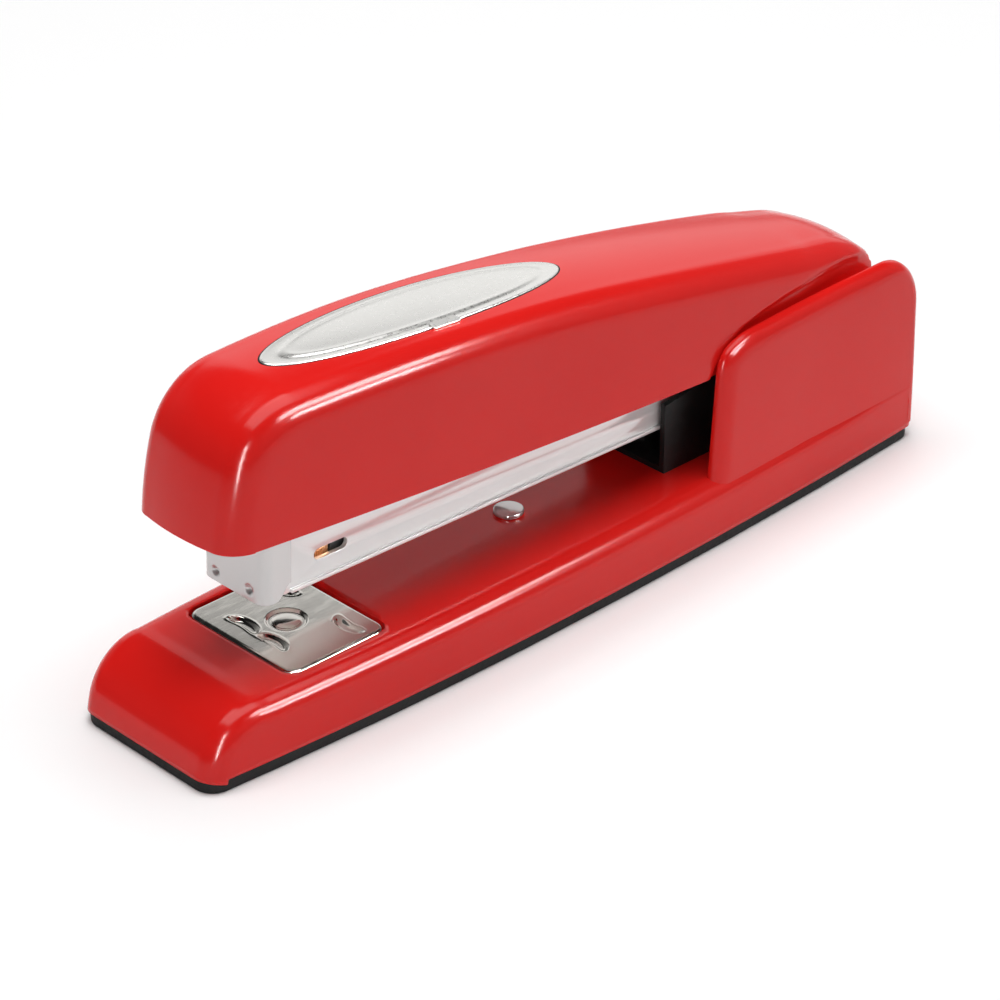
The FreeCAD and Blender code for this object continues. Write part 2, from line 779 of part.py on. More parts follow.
def make_channel():
    """The open-topped channel that the staples run in."""
    inner = D.channel_half_wide - D.channel_wall
    side_view = loop_prism("channel_block", "XZ_Plane", [
        (D.channel_front, D.channel_low), (D.channel_rear, D.channel_low),
        (D.channel_rear, D.channel_top), (D.channel_front, D.channel_top)],
        D.channel_half_wide * 2)
    eye = rod("channel_eye", D.channel_eye_rad, -D.channel_half_wide, D.channel_half_wide,
              (0, 0), "y")
    lips = []
    for side in (-1, 1):
        edge = D.channel_half_wide * side
        reach = (D.channel_half_wide + D.channel_lip) * side
        low, high = (reach, edge) if side < 0 else (edge, reach)
        lips.append(box("lip_%d" % side, (D.nose_rear + 0.2, -12), (low, high),
                        (D.channel_low, D.channel_low + D.channel_lip_high)))
    solid = fuse("channel_solid", [side_view, eye] + lips)
    hollow = box("channel_hollow", (D.channel_front - 1, D.channel_rear + 1), (-inner, inner),
                 (D.channel_low + D.channel_wall, D.channel_top + 9))
    half = D.window_high / 2
    straight = (D.window_long - D.window_high) / 2
    front, rear = D.window_x - straight, D.window_x + straight
    window = [box("window_middle", (front, rear), (-20, 20), (D.window_z - half, D.window_z + half))]
    for name, x in (("front", front), ("rear", rear)):
        window.append(rod("window_" + name, half, -20, 20, (x, D.window_z), "y"))
    pin_hole = rod("channel_pin_hole", D.pin_rad + D.pin_fit, -20, 20, (0, 0), "y")
    corner = box("channel_corner", (0, 20), (-20, 20), (D.channel_low - 5, 0))
    round_end = rod("channel_round_end", D.channel_end_rad, -30, 30, (0, 0), "y")
    heel = cut("channel_heel", corner, [round_end])
    node(on_hinge(cut("channel", solid, [hollow, pin_hole, heel] + window)), "magazine_channel")


def make_nose():
    """The bright plate folded round the front of the magazine."""
    side_view = loop_prism("nose_block", "XZ_Plane", [
        (D.nose_front, D.nose_top), (D.nose_front, D.nose_low), (D.nose_heel_x, D.nose_low),
        (D.nose_rear, D.nose_heel_z), (D.nose_rear, D.nose_top)], D.nose_half_wide * 2)
    front = DIMENSIONS["nose_front"] + 0.01
    fillet(side_view, D.nose_corner_rad,
           lambda ends, mid: mid.x < front and abs(mid.y) > 1, "nose_corners")
    inner = D.nose_half_wide - D.nose_plate
    inside_front = D.nose_front + D.nose_plate
    hollow = loop_prism("nose_hollow", "XY_Plane", [
        (inside_front, -inner), (D.nose_rear + 1, -inner), (D.nose_rear + 1, inner),
        (inside_front, inner)], D.reach)
    fillet(hollow, D.nose_corner_rad - D.nose_plate,
           lambda ends, mid: mid.x < DIMENSIONS["nose_front"] + 1 and abs(mid.z) < 1,
           "nose_hollow_corners")
    node(on_hinge(cut("nose", side_view, [hollow])), "nose_plate")


def make_staples():
    """The glued strip of staples that is left, as one bent strip."""
    high = box("strip_block", (D.staple_front, D.staple_rear),
               (-D.staple_half_wide, D.staple_half_wide), (D.staple_top - D.staple_leg, D.staple_top))
    inner = D.staple_half_wide - D.staple_wire
    hollow = box("strip_hollow", (D.staple_front - 1, D.staple_rear + 1), (-inner, inner),
                 (D.staple_top - D.staple_leg - 1, D.staple_top - D.staple_wire))
    node(on_hinge(cut("strip", high, [hollow])), "staple_strip")


def make_rail():
    """The inner rail that the staples sit astride, with a foot at each end."""
    wide = D.rail_half_wide
    inner = wide - D.rail_sheet
    solids = [box("rail_block", (D.rail_front, D.rail_rear), (-wide, wide), (D.rail_low, D.rail_top))]
    for name, start in (("front", D.rail_front), ("rear", D.rail_rear - D.rail_foot_long)):
        solids.append(box("rail_foot_" + name, (start, start + D.rail_foot_long), (-wide, wide),
                          (D.rail_foot_low, D.rail_top)))
    hollow = box("rail_hollow", (D.rail_front - 1, D.rail_rear + 1), (-inner, inner),
                 (D.channel_low, D.rail_top - D.rail_sheet))
    node(on_hinge(cut("rail", fuse("rail_solid", solids), [hollow])), "inner_rail")


def make_pusher():
    """The follower that rides the rail and pushes the staples, with its rod and spring."""
    rear = D.pusher_front + D.pusher_long
    block = box("pusher_block", (D.pusher_front, rear), (-D.pusher_half_wide, D.pusher_half_wide),
                (D.pusher_low, D.pusher_top))
    wide = D.rail_half_wide + D.pusher_fit
    roof = D.rail_top + D.pusher_fit
    outer = box("pusher_slot", (D.pusher_front - 1, rear + 1), (-wide, wide),
                (D.rail_low - D.pusher_fit, roof))
    inner = D.rail_half_wide - D.rail_sheet - D.pusher_fit
    core = box("pusher_core", (D.pusher_front - 2, rear + 2), (-inner, inner),
               (D.rail_low - D.pusher_fit * 2, D.rail_top - D.rail_sheet - D.pusher_fit))
    bore = rod("pusher_bore", D.rod_rad + 0.1, D.pusher_front - 1, rear + 1, (0, D.rod_z), "x")
    slot = cut("pusher_rail_way", outer, [core])
    node(on_hinge(cut("pusher_body", block, [slot, bore])), "pusher")
    guide = rod("guide", D.rod_rad, D.rod_front, D.block_front, (0, D.rod_z), "x")
    node(on_hinge(guide), "pusher_rod")
    coil = rod("coil", D.spring_rad, rear, D.block_front, (0, D.rod_z), "x")
    coil_bore = rod("coil_bore", D.spring_bore, rear - 1, D.block_front + 1, (0, D.rod_z), "x")
    node(on_hinge(cut("coil_tube", coil, [coil_bore])), "pusher_spring")


def make_end_blocks():
    """The block that holds the rod, the end block, and the rail's short spring between them."""
    inner = D.rail_half_wide - D.rail_sheet - 0.2
    low = D.channel_low + D.channel_wall
    block = box("rod_block_box", (D.block_front, D.block_front + D.block_long), (-inner, inner),
                (low, D.rail_top - D.rail_sheet - 0.2))
    node(on_hinge(block), "rod_block")
    wide = D.channel_half_wide - D.channel_wall
    end = box("end_block_box", (D.end_block_front, D.end_block_front + D.end_block_long),
              (-wide, wide), (low, D.rail_top))
    node(on_hinge(end), "channel_end_block")
    coil = rod("short_coil", D.end_spring_rad, D.rail_rear, D.end_block_front, (0, D.rod_z), "x")
    bore = rod("short_coil_bore", D.end_spring_rad - 0.6, D.rail_rear - 1, D.end_block_front + 1,
               (0, D.rod_z), "x")
    node(on_hinge(cut("short_coil_tube", coil, [bore])), "rail_spring")


# ---------------------------------------------------------------- cover


def solid_profile(name, inset, plan_inset, rounding, floor_drop):
    """The cover's outer form or its cavity: side view, cut to the plan, shoulders rounded."""
    body = new_body(name)
    side = new_sketch(body, "XZ_Plane", name + "_side")
    upper = cover_profile(inset)
    tail_x = upper[0][0]
    front_x = upper[-1][0]
    lower = [
        (D.cover_skirt_x, D.cover_skirt_z - floor_drop),
        (tail_x - 7, D.cover_tail_z - floor_drop),
        (tail_x, D.cover_tail_z - floor_drop)]
    if floor_drop:
        lower.insert(0, (front_x, D.cover_front_z - floor_drop))
    draw_loop(side, upper + lower)
    pad(body, side, D.base_half_wide * 2, both_ways=True)
    plan = new_sketch(body, "XY_Plane", name + "_plan")
    draw_loop(plan, cover_plan(-D.half_len, D.half_len, plan_inset))
    draw_loop(plan, [(-120, -60), (120, -60), (120, 60), (-120, 60)])
    pocket(body, plan, D.reach)
    front, rear = DIMENSIONS["cover_front_x"], DIMENSIONS["cover_skirt_x"]
    front_z, rear_z = DIMENSIONS["cover_front_z"], DIMENSIONS["cover_skirt_z"]

    def on_shoulder(ends, mid):
        """True along the top edge of either side, from the nose over the top to the tail."""
        if abs(mid.y) < 5 or abs(mid.x - WAIST_X.value) < 0.1:
            return False
        skirt = front_z + (rear_z - front_z) * (mid.x - front) / (rear - front)
        on_skirt = mid.x < DIMENSIONS["bracket_rear_x"] and mid.z < skirt + 1.0
        return not on_skirt and mid.z > DIMENSIONS["cover_tail_z"] + 1.0

    fillet(body, rounding, on_shoulder, name + "_shoulder")
    return body


def make_cover():
    """The painted cover: a pressed shell, stepped in where it passes between the ears."""
    outer = solid_profile("cover_form", quantity(0), quantity(0), D.cover_shoulder_rad, 0)
    cavity = solid_profile("cover_cavity", D.cover_sheet, D.cover_side, D.cover_cavity_rad, 3)
    zone = loop_prism("ear_zone", "XZ_Plane", ear_profile(D.cover_step_gap), D.reach)
    keep = loop_prism("step_keep", "XY_Plane", cover_plan(-D.half_len, D.half_len, D.cover_step),
                      D.reach)
    step = cut("cover_step", zone, [keep])
    swing = rod("swing_round", D.cover_swing_rad, -60, 60, (D.hinge_x, D.hinge_z), "y")
    narrow = loop_prism("swing_keep", "XY_Plane",
                        cover_plan(-D.half_len, D.half_len, D.cover_swing_step), D.reach)
    swing_step = cut("cover_swing_step", swing, [narrow])
    doorway = box("cover_doorway", (D.hinge_x + 4, D.half_len + 5),
                  (-D.cover_door_half, D.cover_door_half), (0, D.cover_door_top))
    seat = make_oval("oval_seat", D.oval_gap, D.oval_sink, 6)
    pin_hole = rod("cover_pin_hole", D.pin_rad + D.pin_fit, -40, 40, (D.hinge_x, D.hinge_z), "y")
    node(cut("cover", outer, [cavity, step, swing_step, seat, pin_hole, doorway]), "cover_shell")
    posts = []
    for index, x in enumerate((D.oval_x - D.post_spread, D.oval_x + D.post_spread)):
        bar = rod("cover_post_%d" % index, D.cover_post_rad, D.arm_front_z - 9.5, 80, (x, 0))
        inside = doc.addObject("Part::MultiCommon", "cover_post_%d_inside" % index)
        inside.Shapes = [bar, cavity]
        below = loop_prism("below_arm_%d" % index, "XZ_Plane", arm_side(), D.reach)
        posts.append(cut("cover_post_%d_cut" % index, inside, [below]))
    node(group("cover_post_pair", posts), "cover_posts")


def make_oval(name, grow, sink, rise):
    """An oval slab that follows the curve of the cover's top, from sink below it to rise above."""
    start_x, start_z, heading, radius = COVER_ARCS[2]
    centre = (start_x + radius * sine(heading), start_z - radius * cosine(heading))
    lower = rod(name + "_under", radius - sink, -60, 60, centre, "y")
    upper = rod(name + "_over", radius + rise, -60, 60, centre, "y")
    oval = doc.addObject("Part::Ellipse", name + "_edge")
    bind(oval, "MajorRadius", D.oval_half_long + grow)
    bind(oval, "MinorRadius", D.oval_half_wide + grow)
    bind(oval, "Placement.Base.x", D.oval_x)
    column = doc.addObject("Part::Extrusion", name + "_column")
    column.Base = oval
    column.DirMode = "Custom"
    column.Dir = Vector(0, 0, 1)
    column.Solid = True
    bind(column, "LengthFwd", 120)
    layer = cut(name + "_layer", upper, [lower])
    slab = doc.addObject("Part::MultiCommon", name)
    slab.Shapes = [layer, column]
    return slab


def make_oval_plate():
    """The steel oval set into the top of the cover."""
    node(make_oval("oval", 0, D.oval_sink, D.oval_thick - D.oval_sink), "oval_plate")


def arm_top(x):
    """Height of the arm's upper face at x, forward of its knee."""
    fall = (D.arm_front_z - D.arm_rear_z) / (D.arm_knee_x - D.arm_front_x)
    return D.arm_front_z - (quantity(x) - D.arm_front_x) * fall


def arm_side():
    """Side view of the arm."""
    eye = D.arm_eye_rad
    return [
        (D.hinge_x, D.hinge_z - eye, eye), (D.hinge_x + eye, D.hinge_z, eye),
        (D.hinge_x, D.hinge_z + eye), (D.arm_knee_x, D.arm_rear_z),
        (D.arm_front_x, D.arm_front_z), (D.arm_front_x, D.arm_front_z - D.arm_flange),
        (40, D.arm_rear_z - 7)]


def make_cover_arm():
    """The black arm inside the cover, from the hinge to the driver, open underneath."""
    half = D.arm_inner + D.arm_plate
    block = loop_prism("arm_block", "XZ_Plane", arm_side(), half * 2)
    low = D.hinge_z - 20
    front = D.arm_front_x + D.arm_plate
    inside = loop_prism("arm_inside", "XZ_Plane", [
        (front, low), (D.hinge_x + 9, low), (D.hinge_x + 9, D.arm_rear_z - D.arm_plate),
        (D.arm_knee_x, D.arm_rear_z - D.arm_plate), (front, arm_top(front) - D.arm_plate)],
        D.arm_inner * 2)
    tools = [inside]
    tools.append(rod("arm_pin_hole", D.pin_rad + D.pin_fit, -20, 20, (D.hinge_x, D.hinge_z), "y"))
    for side in (-1, 1):
        tools.append(rod("arm_blade_hole_%d" % side, D.blade_rivet_rad, D.arm_front_x - 5,
                         D.arm_front_x + 5, (D.blade_rivet_y * side, D.blade_rivet_z), "x"))
    tools.append(rod("arm_leaf_hole", D.rivet_shank_rad, 0, 80, (D.arm_leaf_x, 0)))
    node(cut("arm", block, tools), "cover_arm")


def make_driver():
    """The blade that drives one staple, and the two rivets that hold it to the arm."""
    blade = box("blade_box", (0, D.blade_thick), (-D.blade_wide / 2, D.blade_wide / 2),
                (0, D.blade_high))
    leaning = group("blade_leaning", [blade])
    leaning.Placement = FreeCAD.Placement(Vector(), FreeCAD.Rotation(Vector(0, 1, 0), 1))
    bind(leaning, "Placement.Base.x", D.blade_x)
    bind(leaning, "Placement.Base.z", D.blade_tip_z)
    bind(leaning, "Placement.Rotation.Angle", D.blade_lean)
    holes, rivets = [], []
    for side in (-1, 1):
        place = (D.blade_rivet_y * side, D.blade_rivet_z)
        holes.append(rod("blade_hole_%d" % side, D.blade_rivet_rad, D.arm_front_x - 5,
                         D.arm_front_x + 5, place, "x"))
        head = rod("blade_rivet_head_%d" % side, D.blade_rivet_rad * 1.8,
                   D.arm_front_x - 1.9, D.arm_front_x - 1.1, place, "x")
        shank = rod("blade_rivet_shank_%d" % side, D.blade_rivet_rad, D.arm_front_x - 1.2,
                    D.arm_front_x + D.arm_plate, place, "x")
        tail = rod("blade_rivet_tail_%d" % side, D.blade_rivet_rad * 1.6,
                   D.arm_front_x + D.arm_plate, D.arm_front_x + D.arm_plate + 0.6, place, "x")
        rivets.append(fuse("blade_rivet_%d" % side, [head, shank, tail]))
    node(cut("blade", on_hinge(leaning), holes), "driver_blade")
    node(group("blade_rivet_pair", rivets), "driver_rivets")


def make_cover_spring():
    """The forked leaf that holds the cover up off the magazine, and its rivet."""
    rear, front = D.arm_leaf_x + 6, D.arm_leaf_x - 6
    plate = D.arm_plate
    rise = math.tan(math.radians(DIMENSIONS["magazine_tilt"]))
    rest_z = D.hinge_z + D.channel_top + (D.hinge_x - D.leaf_tip_x) * rise + 0.1
    leaf = loop_prism("cover_leaf", "XZ_Plane", [
        (rear, arm_top(rear) - plate - D.leaf_thick), (rear, arm_top(rear) - plate),
        (front, arm_top(front) - plate), (D.leaf_tip_x, rest_z + D.leaf_thick),
        (D.leaf_tip_x - 6, rest_z + D.leaf_thick + 0.4), (D.leaf_tip_x - 6, rest_z + 0.4),
        (D.leaf_tip_x, rest_z), (front, arm_top(front) - plate - D.leaf_thick)],
        D.channel_half_wide * 2)
    gap = D.channel_half_wide - D.channel_wall - 0.8
    fork = box("leaf_gap", (D.leaf_tip_x - 9, front - 6), (-gap, gap), (0, 80))
    bore = rod("leaf_bore", D.rivet_shank_rad, 0, 80, (D.arm_leaf_x, 0))
    node(cut("cover_leaf_cut", leaf, [fork, bore]), "cover_leaf_spring")
    top = arm_top(D.arm_leaf_x)
    under = top - plate - D.leaf_thick
    clear = D.slope_clear
    head = rod("leaf_rivet_head", D.rivet_shank_rad * 1.8, top + clear, top + clear + 0.8,
               (D.arm_leaf_x, 0))
    shank = rod("leaf_rivet_shank", D.rivet_shank_rad, under - clear - 0.1, top + clear + 0.1,
                (D.arm_leaf_x, 0))
    tail = rod("leaf_rivet_tail", D.rivet_shank_rad * 1.6, under - clear - 0.7, under - clear,
               (D.arm_leaf_x, 0))
    node(fuse("leaf_rivet", [head, shank, tail]), "leaf_spring_rivet")


for step in (make_sole, make_base, make_anvil_spring, make_bracket, make_hinge_pin,
             make_lift_spring, make_anvil, make_channel, make_nose, make_staples, make_rail,
             make_pusher, make_end_blocks, make_cover, make_oval_plate, make_cover_arm,
             make_driver, make_cover_spring):
    step()
    doc.recompute()


def check_document():
    """Stop if any object failed or any sub-part has no sound shape."""
    for thing in doc.Objects:
        if {"Invalid", "Error"} & set(thing.State):
            raise RuntimeError("%s: %s" % (thing.Name, thing.State))
    for thing in NODES:
        if thing.Shape.isNull() or not thing.Shape.isValid() or not thing.Shape.Solids:
            raise RuntimeError(thing.Label + " has no sound shape")


check_document()
os.makedirs("parts", exist_ok=True)
for thing in NODES:
    thing.Shape.exportStep(os.path.join("parts", thing.Label + ".step"))
    low = thing.Shape.BoundBox
    print("%-22s %d solid(s) %9.1f mm3  x %.1f..%.1f  y %.1f..%.1f  z %.1f..%.1f" % (
        thing.Label, len(thing.Shape.Solids), thing.Shape.Volume, low.XMin, low.XMax,
        low.YMin, low.YMax, low.ZMin, low.ZMax))
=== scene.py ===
"""Desk stapler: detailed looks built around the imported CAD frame.

Shapes are drawn in millimetres, lights and the camera are placed in metres."""

import math

import bmesh
import bpy
from mathutils import Matrix, Vector


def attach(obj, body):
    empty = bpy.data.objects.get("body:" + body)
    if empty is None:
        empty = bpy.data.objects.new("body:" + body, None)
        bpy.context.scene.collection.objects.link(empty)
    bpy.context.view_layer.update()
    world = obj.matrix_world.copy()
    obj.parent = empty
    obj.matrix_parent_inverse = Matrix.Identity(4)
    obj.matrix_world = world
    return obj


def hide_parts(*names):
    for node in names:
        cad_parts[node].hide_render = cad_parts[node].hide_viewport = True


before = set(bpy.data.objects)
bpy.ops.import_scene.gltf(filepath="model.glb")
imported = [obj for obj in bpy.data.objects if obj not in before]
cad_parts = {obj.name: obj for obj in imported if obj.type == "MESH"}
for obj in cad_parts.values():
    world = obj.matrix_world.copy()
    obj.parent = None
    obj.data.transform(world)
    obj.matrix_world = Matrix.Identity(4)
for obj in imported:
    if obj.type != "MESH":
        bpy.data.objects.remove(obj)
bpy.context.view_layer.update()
MM = 0.001
HINGE = (84.0, 33.0)
TILT = math.radians(1.55)          # the magazine stands nose up by this much
ANVIL_X = -63.65                   # middle of the anvil plate and its post
DECK_FLOOR = 2.8                   # lower edge of the painted base


# ---------------------------------------------------------------- small helpers


def smooth(a, b, x):
    """0 below a, 1 above b, smooth between."""
    t = min(max((x - a) / (b - a), 0.0), 1.0)
    return t * t * (3 - 2 * t)


def mix(a, b, t):
    return a + (b - a) * t


def mag(x, y, z):
    """A point drawn about the hinge pin, tilted nose up with the magazine."""
    c, s = math.cos(TILT), math.sin(TILT)
    return (HINGE[0] + x * c + z * s, y, HINGE[1] - x * s + z * c)


def make_object(name, verts, faces, material, body, replaces=(), smooth_shade=True):
    """A mesh in the scene, from points in millimetres, that rides on a body."""
    mesh = bpy.data.meshes.new(name)
    mesh.from_pydata([(v[0] * MM, v[1] * MM, v[2] * MM) for v in verts], [], faces)
    mesh.update()
    obj = bpy.data.objects.new(name, mesh)
    bpy.context.scene.collection.objects.link(obj)
    mesh.materials.append(material)
    if smooth_shade:
        mesh.polygons.foreach_set("use_smooth", [True] * len(mesh.polygons))
    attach(obj, body)
    if replaces:
        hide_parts(*replaces)
    return obj


def clean(obj, merge=1e-6):
    """Join doubled vertices and make the faces point outwards."""
    bm = bmesh.new()
    bm.from_mesh(obj.data)
    bmesh.ops.remove_doubles(bm, verts=bm.verts, dist=merge)
    bmesh.ops.dissolve_degenerate(bm, edges=bm.edges, dist=1e-7)
    bmesh.ops.recalc_face_normals(bm, faces=bm.faces)
    bm.to_mesh(obj.data)
    bm.free()


def grid_faces(rows, cols, close=False):
    """Faces between points laid out in rows; close joins each row into a ring."""
    faces = []
    for i in range(rows - 1):
        for j in range(cols if close else cols - 1):
            k = (j + 1) % cols
            faces.append((i * cols + j, (i + 1) * cols + j, (i + 1) * cols + k, i * cols + k))
    return faces


def bake(obj):
    """Apply the object's modifiers."""
    graph = bpy.context.evaluated_depsgraph_get()
    mesh = bpy.data.meshes.new_from_object(obj.evaluated_get(graph))
    obj.modifiers.clear()
    old = obj.data
    obj.data = mesh
    bpy.data.meshes.remove(old)


def edge_round(obj, width, segments=2, angle=35):
    """Round the edges that are sharper than an angle."""
    bevel = obj.modifiers.new("edge", "BEVEL")
    bevel.width = width * MM
    bevel.segments = segments
    bevel.limit_method = "ANGLE"
    bevel.angle_limit = math.radians(angle)
    bevel.harden_normals = True
    bevel.use_clamp_overlap = True


def from_cad(node, name, material, body, width, segments=2):
    """A copy of a CAD piece with its edges eased, which stands for that piece."""
    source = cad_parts[node]
    mesh = source.data.copy()
    mesh.name = name
    bm = bmesh.new()
    bm.from_mesh(mesh)
    bmesh.ops.remove_doubles(bm, verts=bm.verts, dist=2e-6)
    bmesh.ops.dissolve_limit(bm, angle_limit=math.radians(1.0), verts=bm.verts, edges=bm.edges)
    bm.to_mesh(mesh)
    bm.free()
    mesh.materials.clear()
    mesh.materials.append(material)
    mesh.polygons.foreach_set("use_smooth", [True] * len(mesh.polygons))
    obj = bpy.data.objects.new(name, mesh)
    bpy.context.scene.collection.objects.link(obj)
    edge_round(obj, width, segments)
    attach(obj, body)
    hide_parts(node)


# ---------------------------------------------------------------- materials


class Nodes:
    """A few lines of help for building a node material."""

    def __init__(self, name):
        self.mat = bpy.data.materials.new(name)
        self.mat.use_nodes = True
        self.tree = self.mat.node_tree
        self.shader = self.tree.nodes["Principled BSDF"]
        self.coords = self.tree.nodes.new("ShaderNodeTexCoord")

    def new(self, kind, **settings):
        node = self.tree.nodes.new(kind)
        for key, value in settings.items():
            setattr(node, key, value)
        return node

    def link(self, source, target):
        self.tree.links.new(source, target)

    def noise(self, scale, detail=3.0, rough=0.5, stretch=(1, 1, 1)):
        mapping = self.new("ShaderNodeMapping")
        mapping.inputs["Scale"].default_value = stretch
        self.link(self.coords.outputs["Object"], mapping.inputs["Vector"])
        noise = self.new("ShaderNodeTexNoise")
        noise.inputs["Scale"].default_value = scale
        noise.inputs["Detail"].default_value = detail
        noise.inputs["Roughness"].default_value = rough
        self.link(mapping.outputs["Vector"], noise.inputs["Vector"])
        return noise.outputs["Fac"]

    def ramp(self, source, low, high, out_low=0.0, out_high=1.0):
        node = self.new("ShaderNodeMapRange")
        node.clamp = True
        node.inputs["From Min"].default_value = low
        node.inputs["From Max"].default_value = high
        node.inputs["To Min"].default_value = out_low
        node.inputs["To Max"].default_value = out_high
        self.link(source, node.inputs["Value"])
        return node.outputs["Result"]

    def colour(self, factor, first, second):
        node = self.new("ShaderNodeMix", data_type="RGBA")
        self.link(factor, node.inputs[0])
        node.inputs[6].default_value = (*first, 1)
        node.inputs[7].default_value = (*second, 1)
        return node.outputs[2]

    def bump(self, source, strength, distance=0.001):
        node = self.new("ShaderNodeBump")
        node.inputs["Strength"].default_value = strength
        node.inputs["Distance"].default_value = distance
        self.link(source, node.inputs["Height"])
        self.link(node.outputs["Normal"], self.shader.inputs["Normal"])

    def set(self, **values):
        for key, value in values.items():
            self.shader.inputs[key.replace("_", " ")].default_value = value


def enamel():
    """Glossy red enamel with the faintest unevenness and a little dust."""
    n = Nodes("red_enamel")
    patches = n.noise(28, 3)
    tint = n.colour(n.ramp(patches, 0.3, 0.7), (0.71, 0.011, 0.009), (0.74, 0.014, 0.011))
    n.link(tint, n.shader.inputs["Base Color"])
    fine = n.noise(900, 2)
    n.link(n.ramp(fine, 0.35, 0.8, 0.15, 0.21), n.shader.inputs["Roughness"])
    n.bump(n.noise(320, 2), 0.012, 0.0004)
    n.set(Specular_IOR_Level=0.24)
    return n.mat


def metal(name, first, second, rough_low, rough_high, stretch=(6, 160, 160), scratch=0.04,
          scale=14.0, metallic=1.0):
    """Metal with fine scratches that run along the stapler."""
    n = Nodes(name)
    n.set(Metallic=metallic)
    cloud = n.noise(40, 4)
    n.link(n.colour(n.ramp(cloud, 0.3, 0.7), first, second), n.shader.inputs["Base Color"])
    lines = n.noise(scale, 4, 0.6, stretch)
    n.link(n.ramp(lines, 0.35, 0.7, rough_low, rough_high), n.shader.inputs["Roughness"])
    n.bump(lines, scratch, 0.0003)
    return n.mat


def dull(name, first, second, rough_low, rough_high, grain=700, bump=0.15, spec=0.4):
    """Rubber, plastic or matt black paint."""
    n = Nodes(name)
    cloud = n.noise(60, 4)
    n.link(n.colour(n.ramp(cloud, 0.3, 0.7), first, second), n.shader.inputs["Base Color"])
    fine = n.noise(grain, 3)
    n.link(n.ramp(fine, 0.3, 0.7, rough_low, rough_high), n.shader.inputs["Roughness"])
    n.bump(fine, bump, 0.0003)
    n.set(Specular_IOR_Level=spec)
    return n.mat


RED = enamel()
PLATED = metal("bright_plate", (0.66, 0.665, 0.66), (0.71, 0.71, 0.705), 0.08, 0.14,
               scratch=0.012, metallic=0.4)
# a lighter copy of the plating for the magazine channel: painted light, brighter to make up for the
# shade the cover casts on it
CHANNEL_PAINTED_LIGHT = metal("channel_plate", (0.88, 0.88, 0.875), (0.92, 0.92, 0.915), 0.10, 0.16,
                scratch=0.012, metallic=0.25)
ANVIL = metal("anvil_plate_metal", (0.52, 0.50, 0.46), (0.62, 0.60, 0.56), 0.07, 0.18, (14, 60, 60),
              0.02)
SATIN = metal("satin_plate", (0.80, 0.79, 0.76), (0.86, 0.85, 0.82), 0.26, 0.36, (40, 40, 40),
              0.03, 30.0)
STEEL = metal("plain_steel", (0.50, 0.50, 0.50), (0.60, 0.60, 0.59), 0.22, 0.40)
SPRING = metal("spring_steel", (0.22, 0.22, 0.24), (0.32, 0.32, 0.33), 0.25, 0.4)
COPPER = metal("copper_wire", (0.78, 0.42, 0.22), (0.86, 0.52, 0.30), 0.2, 0.35, (60, 60, 60))
BLACK = dull("black_steel", (0.004, 0.004, 0.004), (0.009, 0.009, 0.009), 0.38, 0.55, 900, 0.08,
             spec=0.2)
PLASTIC = dull("black_plastic", (0.015, 0.015, 0.016), (0.028, 0.028, 0.028), 0.4, 0.6)
RUBBER = dull("sole_rubber", (0.006, 0.006, 0.006), (0.014, 0.014, 0.014), 0.5, 0.7, 1100, 0.3,
              spec=0.2)


# ---------------------------------------------------------------- the pressed and cast red forms


def follow(start, heading, pieces, step=0.8):
    """Points and outward normals along a chain of straights and arcs.

    A piece is ("line", length) or ("arc", radius, turn); arcs turn clockwise."""
    x, z = start
    angle = math.radians(heading)
    points = [(x, z, -math.sin(angle), math.cos(angle))]
    for piece in pieces:
        if piece[0] == "line":
            count = max(2, int(piece[1] / step))
            for _ in range(count):
                x += math.cos(angle) * piece[1] / count
                z += math.sin(angle) * piece[1] / count
                points.append((x, z, -math.sin(angle), math.cos(angle)))
        else:
            radius, turn = piece[1], math.radians(piece[2])
            count = max(4, int(radius * abs(turn) / step), int(abs(piece[2]) / 3))
            for _ in range(count):
                bit = turn / count
                chord = 2 * radius * math.sin(bit / 2)
                x += math.cos(angle - bit / 2) * chord
                z += math.sin(angle - bit / 2) * chord
                angle -= bit
                points.append((x, z, -math.sin(angle), math.cos(angle)))
    return points


def round_shoulder(depth, wide):
    """A quarter round, top to side: its width, and steps of (share of the width, drop)."""
    count = 12
    steps = [math.pi / 2 * i / count for i in range(1, count + 1)]
    return wide, [(math.sin(a), depth * (1 - math.cos(a))) for a in steps]


def form(profile, side, edge_z, shoulder, crown, flat, wall):
    """A half-shell over a side profile: crowned top, shoulder, then the side down to its edge.

    side(x, z) is the half width, edge_z(x) the lower edge and shoulder(x) the rounding; crown is the
    top's fall from its middle; flat and wall count the faces over the top and down the side."""
    rows = []
    for x, z, nx, nz in profile:
        row = []
        wide, steps = shoulder(x)
        fall = crown + steps[-1][1]
        qx, qz = x - nx * fall, z - nz * fall
        start = side(qx, qz) - wide
        for i in range(flat + 1):
            f = i / flat
            row.append((x - nx * crown * f * f, start * f, z - nz * crown * f * f))
        for share, drop in steps:
            drop += crown
            px, pz = x - nx * drop, z - nz * drop
            row.append((px, mix(start, side(px, pz), share), pz))
        low = qz if abs(nx) > 0.9999 else min(edge_z(qx), qz)
        for i in range(1, wall + 1):
            pz = mix(qz, low, i / wall)
            row.append((qx, side(qx, pz), pz))
        rows.append(row)
    return rows


def both_sides(rows):
    """Mirror rows that start on the centre line."""
    full = []
    for row in rows:
        left = [(p[0], -p[1], p[2]) for p in reversed(row[1:])]
        full.append(left + row)
    return full


